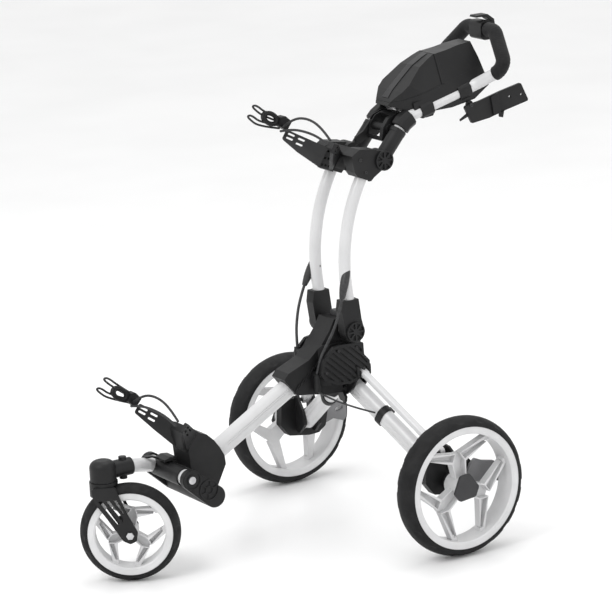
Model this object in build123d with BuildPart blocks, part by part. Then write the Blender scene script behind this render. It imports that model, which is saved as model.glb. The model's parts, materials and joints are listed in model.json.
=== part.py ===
from build123d import *
import math
import os

os.makedirs("parts", exist_ok=True)

# Golf push trolley, three wheels. Millimetres, +Z up, the trolley drives towards -Y.
# The origin lies on the ground at the middle of the footprint.

# ---------------------------------------------------------------- driving dimensions
AXLE_Y = 150.5            # rear axle, behind the origin
REAR_R = 146.0            # rear wheel radius
REAR_X = 330.0            # rear wheel centre plane
FRONT_R = 102.5           # front wheel radius
TRAIL = 48.0              # front wheel centre behind the swivel axis
STEER = -31.2             # swivel angle at rest, degrees
SWIVEL_Y = AXLE_Y - 641.5

FOLD_Y, FOLD_Z = AXLE_Y - 69.5, 431.5        # frame fold axis, along X
KNUCKLE_Y, KNUCKLE_Z = AXLE_Y + 17.0, 781.0  # handle fold axis, along X
ARM_Y, ARM_Z = AXLE_Y - 482.0, 198.0         # front arm fold axis, along X

UPRIGHT_X = 56.6          # the two uprights
TUBE_R = 12.5             # uprights and handle
TUBE_WALL = 1.8
RAIL_X = 48.0             # the two rails of the handle

LEG_DROP = 32.2           # rear leg below the horizontal, degrees
LEG_SWEEP = 12.3          # rear leg swept back in plan, degrees
LEG_LEN = 267.0           # between the two pivots of a leg
LINK_GAP = 43.0           # leg pivot to link pivot
LEG_H, LEG_T = 40.0, 28.0  # leg tube section
LINK_R = 8.5

PIN_R = 6.0               # leg and link pivots
FIT = 0.05                # running fit, radial
CLEAR = 0.4               # gap between bodies

# ---------------------------------------------------------------- derived directions
drop = math.radians(LEG_DROP)
sweep_angle = math.radians(LEG_SWEEP)
steer = math.radians(STEER)
leg_dir = Vector(
    math.cos(drop) * math.cos(sweep_angle),
    math.cos(drop) * math.sin(sweep_angle),
    -math.sin(drop),
)
leg_front = Vector(math.sin(sweep_angle), -math.cos(sweep_angle), 0)
LEG_PLANE = Plane(origin=(17, AXLE_Y - 51, 308.5), x_dir=leg_dir, z_dir=leg_front)
axle_dir = Vector(math.cos(steer), math.sin(steer), 0)
trail_dir = Vector(-math.sin(steer), math.cos(steer), 0)
SWIVEL = Vector(0, SWIVEL_Y, 0)
FRONT_CENTRE = SWIVEL + trail_dir * TRAIL + Vector(0, 0, FRONT_R)
RIGHT = Plane.YZ          # mirror plane between the left and the right half


def rear_centre(sx):
    return Vector(sx * REAR_X, AXLE_Y, REAR_R)


def radial_plane(centre, outward):
    """Sketch plane of a wheel's section: local x is the radius, local y runs outwards."""
    return Plane(origin=centre, x_dir=(0, 0, 1), z_dir=Vector(0, 0, 1).cross(outward))


def side(y, z):
    """A point of a side profile, with y counted from the rear axle."""
    return (AXLE_Y + y, z)


def across_leg(x, y=0, z=0):
    """Section plane of the left leg at a point given along, above and before the leg axis."""
    point = LEG_PLANE.from_local_coords((x, y, z))
    return Plane(origin=point, x_dir=-LEG_PLANE.y_dir, z_dir=leg_dir)


# ================================================================ wheels
def make_tyre(centre, outward, r_out, r_rim, half):
    """Solid foam tyre: crowned tread, rounded shoulders, seated between the rim flanges."""
    with BuildPart() as tyre:
        with BuildSketch(radial_plane(centre, outward)):
            with BuildLine():
                Polyline(
                    (r_out - 5, half - 7),
                    (r_rim + 2, half),
                    (r_rim, half),
                    (r_rim, half - 5.4),
                    (r_rim - 9.5, half - 5.4),
                    (r_rim - 9.5, 5.4 - half),
                    (r_rim, 5.4 - half),
                    (r_rim, -half),
                    (r_rim + 2, -half),
                    (r_out - 5, 7 - half),
                )
                ThreePointArc((r_out - 5, 7 - half), (r_out, 0), (r_out - 5, half - 7))
            make_face()
        revolve(axis=Axis(centre, outward))
    return tyre.part


RIB = 2.2                 # rib thickness of the spokes


def branch(fork, node_r, arm, hand, inset):
    """One limb of a forked spoke, from the node to the rim; the inset leaves a rib on each side."""
    reach = 0 if inset == 0 else 6
    return (
        (node_r - arm * 1.1 + inset * 2.5, hand * (arm * 1.3 - inset)),
        (fork[0] - 5 + inset - reach, hand * (fork[1] + 5 - inset - reach)),
        (fork[0] + 4 - inset * 0.6 - reach, hand * (fork[1] - 4 + inset - reach)),
        (node_r + 6 - inset * 0.5, hand * (arm * 0.45 + inset * 0.6)),
    )


def make_rim(centre, outward, r_rim, half, hub_r, hub_out, hub_in, bore_r, node_r, turn):
    """Rim ring with two flanges, hub and three forked spokes with hollow faces."""
    face = Plane(origin=centre, x_dir=(0, 1, 0), z_dir=(1, 0, 0))
    if abs(outward.Y) > 0.01:
        face = Plane(origin=centre, x_dir=trail_dir, z_dir=axle_dir)
    flip = 1 if outward.dot(face.z_dir) > 0 else -1
    ring_in = r_rim - 15
    arm = 0.2 * node_r
    spread = math.radians(42)
    fork = (ring_in + 1.5) * math.cos(spread), (ring_in + 1.5) * math.sin(spread)
    with BuildPart() as rim:
        with BuildSketch(radial_plane(centre, outward)):
            with BuildLine():
                Polyline(
                    (ring_in, half - 3),
                    (ring_in + 3, half - 1),
                    (r_rim, half - 1),
                    (r_rim, half - 5.4),
                    (r_rim - 9.5, half - 5.4),
                    (r_rim - 9.5, 5.4 - half),
                    (r_rim, 5.4 - half),
                    (r_rim, 1 - half),
                    (ring_in + 3, 1 - half),
                    (ring_in, 3 - half),
                    close=True,
                )
            make_face()
        revolve(axis=Axis(centre, outward))
        with BuildSketch(face.offset(flip * -hub_in)):
            Circle(hub_r)
        extrude(amount=flip * (hub_in + hub_out))
        for k in range(3):
            a = math.radians(turn + 120 * k)
            along = face.x_dir * math.cos(a) + face.y_dir * math.sin(a)
            spoke = Plane(origin=centre, x_dir=along, z_dir=face.z_dir)
            pocket = (
                (hub_r - 6, -arm * 1.0),
                (node_r - arm * 1.1, -arm * 1.3),
                (node_r + 6, -arm * 0.45),
                (node_r + 6, arm * 0.45),
                (node_r - arm * 1.1, arm * 1.3),
                (hub_r - 6, arm * 1.0),
            )
            with BuildSketch(spoke.offset(flip * -9)):
                with BuildLine():
                    Polyline(*pocket, close=True)
                make_face()
                for hand in (-1, 1):
                    with BuildLine():
                        Polyline(*branch(fork, node_r, arm, hand, 0), close=True)
                    make_face()
            extrude(amount=flip * 18)
            with BuildSketch(spoke.offset(flip * 12)):
                with BuildLine():
                    Polyline(*[(x if x > node_r - 5 else x + 2, y * 0.8) for x, y in pocket], close=True)
                make_face()
                for hand in (-1, 1):
                    with BuildLine():
                        Polyline(*branch(fork, node_r, arm, hand, RIB), close=True)
                    make_face()
            extrude(amount=flip * -16, mode=Mode.SUBTRACT)
        with BuildSketch(face.offset(flip * -hub_in)):
            Circle(bore_r)
        extrude(amount=flip * (hub_in + hub_out), mode=Mode.SUBTRACT)
    return rim.part


def make_cap(centre, outward, offset, radius, thick, turn):
    """Hub cap: a six-sided plate with three short and three long sides."""
    face = Plane(origin=centre, x_dir=(0, 1, 0), z_dir=(1, 0, 0))
    if abs(outward.Y) > 0.01:
        face = Plane(origin=centre, x_dir=trail_dir, z_dir=axle_dir)
    flip = 1 if outward.dot(face.z_dir) > 0 else -1
    corners = []
    for k in range(3):
        for turn_by in (-21, 21):
            a = math.radians(turn + 120 * k + turn_by)
            corners.append((radius * math.cos(a), radius * math.sin(a)))
    with BuildPart() as cap:
        with BuildSketch(face.offset(flip * offset)):
            with BuildLine():
                Polyline(*corners, close=True)
            make_face()
            fillet(vertices(), radius * 0.22)
        extrude(amount=flip * thick)
    return cap.part


def make_bearings(centre, outward, spots, bore_r, outer_r, width):
    """Sealed ball bearings, as plain rings."""
    with BuildPart() as rings:
        for spot in spots:
            base = Plane(origin=centre + outward * spot, z_dir=outward)
            with BuildSketch(base):
                Circle(outer_r)
                Circle(bore_r, mode=Mode.SUBTRACT)
            extrude(amount=width)
    return rings.part


AXLE_R = 6.0
for sx, hand in ((1, "left"), (-1, "right")):
    centre = rear_centre(sx)
    outward = Vector(sx, 0, 0)

    tyre = make_tyre(centre, outward, REAR_R, 128, 27)
    tyre.label = f"tyre_{hand}"
    export_step(tyre, f"parts/tyre_{hand}.step")

    rim = make_rim(centre, outward, 128, 27, 24, 20, 22, 14, 66, 96)
    rim.label = f"rim_{hand}"
    export_step(rim, f"parts/rim_{hand}.step")

    hub_cap = make_cap(centre, outward, 20, 31, 5, 96)
    hub_cap.label = f"hub_cap_{hand}"
    export_step(hub_cap, f"parts/hub_cap_{hand}.step")

    bearings = make_bearings(centre, outward, (-22, 2), AXLE_R + FIT, 14, 8)
    bearings.label = f"bearings_{hand}"
    export_step(bearings, f"parts/bearings_{hand}.step")

    with BuildPart() as axle:
        with BuildSketch(Plane(origin=centre - outward * 64, z_dir=outward)):
            Circle(AXLE_R)
        extrude(amount=64 + 13)
        with BuildSketch(Plane(origin=centre - outward * 64, z_dir=outward)):
            Circle(10)
        extrude(amount=-6)
        fillet(axle.edges().filter_by(GeomType.CIRCLE).group_by(Axis.X)[0 if sx > 0 else -1], 2)
    axle.part.label = f"axle_{hand}"
    export_step(axle.part, f"parts/axle_{hand}.step")

# ================================================================ front arm, head, fork and front wheel
HEAD_R = 27.0
CLAMP_Z = 231.0
ARM_TUBE_R = 14.5
CROSS_R = 17.0
CROSS_LEFT, CROSS_RIGHT = 66.0, -82.0     # ends of the cross tube, along X

with BuildPart() as arm_tube:
    with BuildLine():
        FilletPolyline(
            (0, SWIVEL_Y + 12, CLAMP_Z),
            (0, SWIVEL_Y + 66, CLAMP_Z),
            (CROSS_RIGHT + 14, ARM_Y, ARM_Z),
            radius=60,
        )
    with BuildSketch(Plane(origin=(0, SWIVEL_Y + 12, CLAMP_Z), z_dir=(0, 1, 0))):
        Circle(ARM_TUBE_R)
    sweep()
    with BuildSketch(Plane.YZ.offset(CROSS_RIGHT)):
        with Locations((ARM_Y, ARM_Z)):
            Circle(CROSS_R)
    extrude(amount=CROSS_LEFT - CROSS_RIGHT)
    with BuildSketch(Plane.YZ.offset(CROSS_RIGHT)):
        with Locations((ARM_Y, ARM_Z)):
            Circle(8 + FIT)
    extrude(amount=CROSS_LEFT - CROSS_RIGHT, mode=Mode.SUBTRACT)
arm_tube.part.label = "arm_tube"
export_step(arm_tube.part, "parts/arm_tube.step")

with BuildPart() as arm_sleeve:
    with BuildSketch(Plane.YZ.offset(-60)):
        with Locations((ARM_Y, ARM_Z)):
            Circle(CROSS_R + 3)
            Circle(CROSS_R, mode=Mode.SUBTRACT)
    extrude(amount=112)
    chamfer(arm_sleeve.edges().filter_by(GeomType.CIRCLE).group_by(Axis.X)[-1].sort_by(SortBy.RADIUS)[-1], 1)
    with BuildSketch(Plane.YZ.offset(-40)):
        with Locations((ARM_Y + 8, ARM_Z + CROSS_R + 3)):
            Rectangle(10, 6)
    extrude(amount=40)
    add(arm_tube.part, mode=Mode.SUBTRACT)
arm_sleeve.part.label = "arm_sleeve"
export_step(arm_sleeve.part, "parts/arm_sleeve.step")

with BuildPart() as fork_head:
    with BuildSketch(Plane.XY.offset(212.5)):
        with Locations((0, SWIVEL_Y)):
            Circle(HEAD_R)
    extrude(amount=43)
    fillet(fork_head.edges().filter_by(GeomType.CIRCLE).group_by(Axis.Z)[-1], 16)
    with BuildSketch(Plane(origin=(0, SWIVEL_Y, CLAMP_Z), z_dir=(0, 1, 0))):
        Circle(18)
    extrude(amount=64)
    with BuildSketch(Plane.XY.offset(CLAMP_Z - 23)):
        with Locations((0, SWIVEL_Y + 46)):
            Circle(8)
    extrude(amount=46)
    add(arm_tube.part, mode=Mode.SUBTRACT)
    with BuildSketch(Plane.XY.offset(212.5)):
        with Locations((0, SWIVEL_Y)):
            Circle(8 + FIT)
    extrude(amount=14, mode=Mode.SUBTRACT)
fork_head.part.label = "fork_head"
export_step(fork_head.part, "parts/fork_head.step")

FORK_SIDE = Plane(origin=SWIVEL, x_dir=trail_dir, z_dir=axle_dir)
FORK_IN, FORK_OUT = 25.0, 31.0
with BuildPart() as fork:
    with BuildSketch(Plane.XY.offset(182)):
        with Locations((0, SWIVEL_Y)):
            Circle(HEAD_R + 2)
    extrude(amount=30)
    with BuildSketch(FORK_SIDE.offset(-FORK_IN)):
        with Locations((TRAIL, FRONT_R)):
            Circle(FRONT_R + 3.5)
    extrude(amount=2 * FORK_IN, mode=Mode.SUBTRACT)
    for near in (FORK_IN, -FORK_OUT):
        with BuildSketch(FORK_SIDE.offset(near)):
            with BuildLine():
                Polyline(
                    (-24, 205),
                    (24, 205),
                    (30, 186),
                    (44, 150),
                    (TRAIL + 16, FRONT_R + 6),
                    (TRAIL + 13, FRONT_R - 12),
                    (TRAIL, FRONT_R - 18),
                    (TRAIL - 14, FRONT_R - 11),
                    (4, 140),
                    (-20, 176),
                    close=True,
                )
            make_face()
            fillet(vertices(), 5)
            with BuildLine():
                Polyline((-12, 178), (-4, 178), (30, 128), (24, 126), close=True)
            make_face(mode=Mode.SUBTRACT)
            with BuildLine():
                Polyline((3, 178), (11, 178), (36, 140), (35, 131), close=True)
            make_face(mode=Mode.SUBTRACT)
            with BuildLine():
                Polyline((18, 178), (26, 178), (38, 150), (38, 147), close=True)
            make_face(mode=Mode.SUBTRACT)
        extrude(amount=FORK_OUT - FORK_IN)
    with BuildSketch(Plane.XY.offset(211)):
        with Locations((0, SWIVEL_Y)):
            Circle(8)
    extrude(amount=14)
    with BuildSketch(FORK_SIDE.offset(-FORK_OUT)):
        with Locations((TRAIL, FRONT_R)):
            Circle(5)
    extrude(amount=2 * FORK_OUT, mode=Mode.SUBTRACT)
fork.part.label = "fork"
export_step(fork.part, "parts/fork.step")

with BuildPart() as front_axle:
    with BuildSketch(FORK_SIDE.offset(-FORK_OUT)):
        with Locations((TRAIL, FRONT_R)):
            Circle(5)
    extrude(amount=2 * FORK_OUT)
    for near, thick in ((FORK_OUT, 4), (-FORK_OUT, -4)):
        with BuildSketch(FORK_SIDE.offset(near)):
            with Locations((TRAIL, FRONT_R)):
                RegularPolygon(8, 6)
        extrude(amount=thick)
front_axle.part.label = "front_axle"
export_step(front_axle.part, "parts/front_axle.step")

front_tyre = make_tyre(FRONT_CENTRE, axle_dir, FRONT_R, 86.5, 23)
front_tyre.label = "tyre_front"
export_step(front_tyre, "parts/tyre_front.step")

front_rim = make_rim(FRONT_CENTRE, axle_dir, 86.5, 23, 17, 21, 21, 11, 44, 80)
front_rim.label = "rim_front"
export_step(front_rim, "parts/rim_front.step")

front_bearings = make_bearings(FRONT_CENTRE, axle_dir, (-21, 14), 5 + FIT, 11, 7)
front_bearings.label = "bearings_front"
export_step(front_bearings, "parts/bearings_front.step")

with BuildPart() as latch_lever:
    with BuildSketch(Plane.YZ.offset(-40)):
        with BuildLine():
            Polyline(
                (ARM_Y + 3.5, ARM_Z + 24.4),
                (ARM_Y + 13, ARM_Z + 24.4),
                (ARM_Y + 13, ARM_Z + 29),
                (ARM_Y - 2, ARM_Z + 31),
                (ARM_Y - 16, ARM_Z + 27),
                (ARM_Y - 16, ARM_Z + 23),
                (ARM_Y - 4, ARM_Z + 23.5),
                close=True,
            )
        make_face()
    extrude(amount=40)
    with BuildSketch(Plane.YZ.offset(-40)):
        with BuildLine():
            Polyline(
                (ARM_Y - 15, ARM_Z + 23),
                (ARM_Y - 30, ARM_Z + 30),
                (ARM_Y - 44, ARM_Z + 31),
                (ARM_Y - 45, ARM_Z + 34),
                (ARM_Y - 30, ARM_Z + 33.5),
                (ARM_Y - 14, ARM_Z + 27),
                close=True,
            )
        make_face()
    extrude(amount=14)
latch_lever.part.label = "latch_lever"
export_step(latch_lever.part, "parts/latch_lever.step")

# ================================================================ rear legs, links and carriers
LEG_START = 22.0
LEG_END = LEG_LEN + 12
with BuildPart() as leg_left:
    with BuildSketch(across_leg(LEG_START)):
        SlotOverall(LEG_H, LEG_T)
        SlotOverall(LEG_H - 5, LEG_T - 5, mode=Mode.SUBTRACT)
    extrude(amount=LEG_END - LEG_START)
    with BuildSketch(LEG_PLANE.offset(-10)):
        with BuildLine():
            Polyline((0, 15), (60, 15), (60, -15), (0, -15))
            ThreePointArc((0, -15), (-15, 0), (0, 15))
        make_face()
    extrude(amount=20)
    with BuildSketch(LEG_PLANE.offset(-LEG_T)):
        with Locations((0, 0), (LEG_LEN, 0)):
            Circle(PIN_R + FIT)
    extrude(amount=2 * LEG_T, mode=Mode.SUBTRACT)
    for groove in (-5, 5):
        for face in (-LEG_T / 2, LEG_T / 2):
            with BuildSketch(across_leg(LEG_START, groove, face)):
                Circle(0.8)
            extrude(amount=LEG_END - LEG_START, mode=Mode.SUBTRACT)
leg_left.part.label = "leg_left"
export_step(leg_left.part, "parts/leg_left.step")

LINK_T = 6.0
with BuildPart() as link_left:
    with BuildSketch(across_leg(20, LINK_GAP)):
        Circle(LINK_R)
        Circle(LINK_R - 2, mode=Mode.SUBTRACT)
    extrude(amount=LEG_LEN - 40)
    for eye, middle in ((0, 13), (LEG_LEN, LEG_LEN - 13)):
        with BuildSketch(LEG_PLANE.offset(-LINK_T)):
            with Locations((eye, LINK_GAP)):
                Circle(LINK_R)
            with Locations((middle, LINK_GAP)):
                Rectangle(26, 2 * LINK_R - 2)
        extrude(amount=2 * LINK_T)
    with BuildSketch(LEG_PLANE.offset(-10)):
        with Locations((0, LINK_GAP), (LEG_LEN, LINK_GAP)):
            Circle(4 + FIT)
    extrude(amount=20, mode=Mode.SUBTRACT)
link_left.part.label = "link_left"
export_step(link_left.part, "parts/link_left.step")

BAND_AT = 100.0
with BuildPart() as cable_band_left:
    with BuildSketch(across_leg(BAND_AT)):
        SlotOverall(LEG_H + 5, LEG_T + 5)
        with Locations((-7, LEG_T / 2 + 3)):
            Rectangle(10, 8)
        SlotOverall(LEG_H, LEG_T, mode=Mode.SUBTRACT)
    extrude(amount=15)
cable_band_left.part.label = "cable_band_left"
export_step(cable_band_left.part, "parts/cable_band_left.step")

# The carrier joins leg and link at their lower pivots and holds the wheel's axle.
CHEEK_IN, CHEEK_OUT = LEG_T / 2 + CLEAR, LEG_T / 2 + 6
left_axle = rear_centre(1)
with BuildPart() as carrier_left:
    with BuildSketch(Plane.YZ.offset(270)):
        with BuildLine():
            Polyline(
                side(-56, 150), side(-52, 196), side(-26, 206), side(18, 202), side(52, 184),
                side(66, 168), side(58, 130), side(40, 117), side(14, 116), side(-36, 124),
                close=True,
            )
        make_face()
        fillet(vertices(), 7)
    extrude(amount=20)
    with BuildSketch(Plane.YZ.offset(290)):
        with Locations(side(0, REAR_R)):
            Circle(17)
    extrude(amount=16)
    for near in (CHEEK_IN, -CHEEK_OUT):
        with BuildSketch(LEG_PLANE.offset(near)):
            with BuildLine():
                Polyline(
                    (LEG_LEN - 22, -8), (LEG_LEN - 16, -20), (LEG_LEN + 30, -24), (LEG_LEN + 48, -10),
                    (LEG_LEN + 34, 24), (LEG_LEN + 20, 52), (LEG_LEN + 4, 55), (LEG_LEN - 11, 50),
                    (LEG_LEN - 13, 34), (LEG_LEN - 22, 10),
                    close=True,
                )
            make_face()
            fillet(vertices(), 5)
        extrude(amount=CHEEK_OUT - CHEEK_IN)
    with BuildSketch(LEG_PLANE.offset(-CHEEK_OUT)):
        with Locations((LEG_LEN, 0)):
            Circle(PIN_R)
        with Locations((LEG_LEN, LINK_GAP)):
            Circle(4)
    extrude(amount=2 * CHEEK_OUT)
    with BuildSketch(LEG_PLANE.offset(-CHEEK_IN)):
        with Locations((LEG_LEN + 9, 21)):
            Rectangle(70, 95)
        with Locations((LEG_LEN, 0)):
            Circle(PIN_R, mode=Mode.SUBTRACT)
        with Locations((LEG_LEN, LINK_GAP)):
            Circle(4, mode=Mode.SUBTRACT)
    extrude(amount=2 * CHEEK_IN, mode=Mode.SUBTRACT)
    with BuildSketch(Plane.YZ.offset(230)):
        with Locations(side(0, REAR_R)):
            Circle(10.4)
    extrude(amount=36, mode=Mode.SUBTRACT)
    with BuildSketch(Plane.YZ.offset(260)):
        with Locations(side(0, REAR_R)):
            Circle(AXLE_R)
    extrude(amount=60, mode=Mode.SUBTRACT)
carrier_left.part.label = "carrier_left"
export_step(carrier_left.part, "parts/carrier_left.step")

BRAKE_PIVOT = side(44, 134)
with BuildPart() as brake_arm_left:
    with BuildSketch(Plane.YZ.offset(291)):
        with BuildLine():
            Polyline(
                side(36, 126), side(50, 122), side(92, 134), side(118, 124), side(127, 134),
                side(126, 158), side(108, 170), side(80, 176), side(62, 184), side(50, 174), side(34, 142),
                close=True,
            )
        make_face()
        fillet(vertices(), 4)
        with Locations(Location((*side(108, 154), 0), (0, 0, 10))):
            SlotOverall(20, 9, mode=Mode.SUBTRACT)
        with Locations(BRAKE_PIVOT):
            Circle(4 + FIT, mode=Mode.SUBTRACT)
    extrude(amount=7)
brake_arm_left.part.label = "brake_arm_left"
export_step(brake_arm_left.part, "parts/brake_arm_left.step")

for part in (leg_left, link_left, cable_band_left, carrier_left, brake_arm_left):
    twin = mirror(part.part, about=RIGHT)
    twin.label = part.part.label.replace("left", "right")
    export_step(twin, f"parts/{twin.label}.step")


# ================================================================ front tube, hub and lower block
TUBE_H, TUBE_W = 42.0, 32.0
front_dir = Vector(0, -295.0, -164.7).normalized()
front_start = Vector(0, AXLE_Y - 130, 358.7)
FRONT_SECTION = Plane(origin=front_start, x_dir=(1, 0, 0), z_dir=front_dir)
with BuildPart() as front_tube:
    with BuildSketch(FRONT_SECTION):
        SlotOverall(TUBE_H, TUBE_W, rotation=90)
        SlotOverall(TUBE_H - 5, TUBE_W - 5, rotation=90, mode=Mode.SUBTRACT)
    extrude(amount=338)
    for sx in (-1, 1):
        for groove in (1, 6):
            with BuildSketch(FRONT_SECTION.offset(60)):
                with Locations((sx * TUBE_W / 2, groove)):
                    Circle(0.8)
            extrude(amount=200, mode=Mode.SUBTRACT)
front_tube.part.label = "front_tube"
export_step(front_tube.part, "parts/front_tube.step")

HUB_X = 40.0
FOLD = (FOLD_Y, FOLD_Z)
CABLE_STOPS = (Vector(42, AXLE_Y - 150, 350), Vector(-45, AXLE_Y - 141, 390))
CABLE_STOP_ENDS = (Vector(37, AXLE_Y - 148, 312), Vector(-38, AXLE_Y - 146, 350))


def leg_space(plane):
    """Room inside the hub for a leg and its link over their whole travel."""
    with BuildPart() as room:
        with BuildSketch(plane.offset(-CHEEK_IN)):
            with BuildLine():
                Polyline(
                    (-8, 54), (110, 54), (110, -140), (4, -32), (-16, -24), (-16, 20), (-10, 43), close=True,
                )
            make_face()
            with Locations((0, 0)):
                Circle(16)
            with Locations((0, LINK_GAP)):
                Circle(9.5)
        extrude(amount=2 * CHEEK_IN)
    return room.part


RIGHT_LEG_PLANE = Plane(
    origin=(-LEG_PLANE.origin.X, LEG_PLANE.origin.Y, LEG_PLANE.origin.Z),
    x_dir=(-leg_dir.X, leg_dir.Y, leg_dir.Z),
    z_dir=(leg_front.X, -leg_front.Y, 0),
)

room_left = leg_space(LEG_PLANE)
room_right = mirror(room_left, about=RIGHT)

with BuildPart() as hub_flank:
    for near in (CHEEK_IN, -CHEEK_OUT):
        with BuildSketch(LEG_PLANE.offset(near)):
            with BuildLine():
                Polyline((-34, -20), (-8, -24), (14, -18), (22, 8), (22, 40), (12, 56), (-6, 60), (-30, 50), close=True)
            make_face()
            fillet(vertices(), 5)
        extrude(amount=CHEEK_OUT - CHEEK_IN)
    with BuildSketch(LEG_PLANE.offset(CHEEK_IN)):
        with BuildLine():
            Polyline((-30, -20), (0, -20), (-10, -46), (-34, -60), (-44, -52), close=True)
        make_face()
    extrude(amount=CHEEK_OUT - CHEEK_IN)

with BuildPart() as hub_body:
    with BuildSketch(Plane.YZ):
        with BuildLine():
            Polyline(
                side(-46, 440), side(-38, 421), side(-38, 378), side(-27, 356), side(-27, 318),
                side(-36, 298), side(-66, 294), side(-120, 298), side(-164, 305), side(-190, 308),
                side(-219, 346), side(-208, 358), side(-158, 378), side(-129, 404), side(-108, 430), side(-94, 454),
                side(-76, 456), close=True,
            )
        make_face()
    extrude(amount=HUB_X, both=True)
    with BuildSketch(Plane.XY.offset(500)):
        with BuildLine():
            Polyline(
                (50, AXLE_Y - 20), (50, AXLE_Y - 98), (27, AXLE_Y - 136), (24, AXLE_Y - 240),
                (-24, AXLE_Y - 240), (-27, AXLE_Y - 136), (-50, AXLE_Y - 98), (-50, AXLE_Y - 20), close=True,
            )
        make_face()
    extrude(amount=-260, mode=Mode.INTERSECT)
    for flank in (-52, 52):
        with Locations((flank, AXLE_Y - 80, 303)):
            Box(50, 190, 30, mode=Mode.SUBTRACT)
        with Locations((flank, AXLE_Y - 80, 446)):
            Box(46, 190, 80, mode=Mode.SUBTRACT)
    with BuildSketch(Plane.YZ.offset(-43.2)):
        with Locations(FOLD):
            Circle(14)
    extrude(amount=86.4)
    with Locations((30, AXLE_Y - 148, 334), (-30, AXLE_Y - 143, 370)):
        Box(24, 10, 36)
    add(hub_flank.part)
    add(mirror(hub_flank.part, about=RIGHT))
    for top, end in zip(CABLE_STOPS, CABLE_STOP_ENDS):
        with BuildSketch(Plane(origin=top, z_dir=end - top)):
            Circle(7)
        extrude(amount=(end - top).length)
    add(room_left, mode=Mode.SUBTRACT)
    add(room_right, mode=Mode.SUBTRACT)
    with BuildSketch(FRONT_SECTION):
        SlotOverall(TUBE_H, TUBE_W, rotation=90)
    extrude(amount=120, mode=Mode.SUBTRACT)
    with BuildSketch(LEG_PLANE.offset(-30), RIGHT_LEG_PLANE.offset(-30)):
        Circle(PIN_R)
    extrude(amount=60, mode=Mode.SUBTRACT)
    with BuildSketch(LEG_PLANE.offset(-30)):
        with Locations((0, LINK_GAP)):
            Circle(4)
    extrude(amount=60, mode=Mode.SUBTRACT)
    with BuildSketch(RIGHT_LEG_PLANE.offset(-30)):
        with Locations((0, LINK_GAP)):
            Circle(4)
    extrude(amount=60, mode=Mode.SUBTRACT)
    with BuildSketch(Plane.YZ.offset(-50)):
        with Locations(FOLD):
            Circle(8)
    extrude(amount=100, mode=Mode.SUBTRACT)
    with Locations((0, AXLE_Y - 70, 466)):
        Box(26.6, 16.6, 40, mode=Mode.SUBTRACT)
hub_body.part.label = "hub_body"
export_step(hub_body.part, "parts/hub_body.step")

PADDLE = (
    side(-116, 404), side(-100, 406), side(-60, 404), side(-43, 402), side(-42, 376), side(-29, 361),
    side(-30, 343), side(-47, 328), side(-78, 319), side(-112, 322), side(-140, 336), side(-150, 352),
    side(-142, 380),
)
PADDLE_INSIDE = (
    side(-114, 398), side(-48, 398), side(-48, 374), side(-35, 359), side(-36, 346), side(-50, 334),
    side(-78, 325), side(-110, 328), side(-135, 341), side(-143, 354), side(-137, 377),
)
RIB_LEAN = -42
with BuildPart() as hub_covers:
    with BuildSketch(Plane.YZ.offset(50)):
        with BuildLine():
            Polyline(*PADDLE, close=True)
        make_face()
        fillet(vertices(), 3)
    extrude(amount=8)
    with BuildSketch(Plane.YZ.offset(55)):
        for step in range(-6, 7):
            with Locations(Location((*side(-88 + 7.4 * step, 362 + 8.2 * step), 0), (0, 0, RIB_LEAN))):
                Rectangle(150, 5)
        with BuildLine():
            Polyline(*PADDLE_INSIDE, close=True)
        make_face(mode=Mode.INTERSECT)
    extrude(amount=4, mode=Mode.SUBTRACT)
    with BuildSketch(Plane.YZ.offset(HUB_X)):
        with Locations(side(-108, 374), side(-66, 380)):
            Circle(8)
    extrude(amount=12)
    with BuildSketch(LEG_PLANE.offset(-9.6)):
        with BuildLine():
            Polyline((-10, 53), (70, 53), (70, -60), (-10, -60), close=True)
        make_face()
    extrude(amount=19.2, mode=Mode.SUBTRACT)
    add(hub_body.part, mode=Mode.SUBTRACT)
    mirror(about=RIGHT)
hub_covers.part.label = "hub_covers"
export_step(hub_covers.part, "parts/hub_covers.step")

# Fold pin of the frame, the four upper leg pins and the arm pin.
with BuildPart() as pivot_pins:
    with BuildSketch(Plane.YZ.offset(-70)):
        with Locations(FOLD):
            Circle(8)
    extrude(amount=140)
    for plane in (LEG_PLANE, RIGHT_LEG_PLANE):
        with BuildSketch(plane.offset(-CHEEK_OUT)):
            Circle(PIN_R)
            with Locations((0, LINK_GAP)):
                Circle(4)
        extrude(amount=2 * CHEEK_OUT)
    with BuildSketch(Plane.YZ.offset(-98)):
        with Locations((ARM_Y, ARM_Z)):
            Circle(8)
    extrude(amount=180)
pivot_pins.part.label = "pivot_pins"
export_step(pivot_pins.part, "parts/pivot_pins.step")

with BuildPart() as release_button:
    with Locations((0, AXLE_Y - 70, 458.5)):
        Box(26, 16, 15)
    fillet(edges().filter_by(Axis.Z), 4)
    fillet(edges().group_by(Axis.Z)[-1], 2)
release_button.part.label = "release_button"
export_step(release_button.part, "parts/release_button.step")

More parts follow.
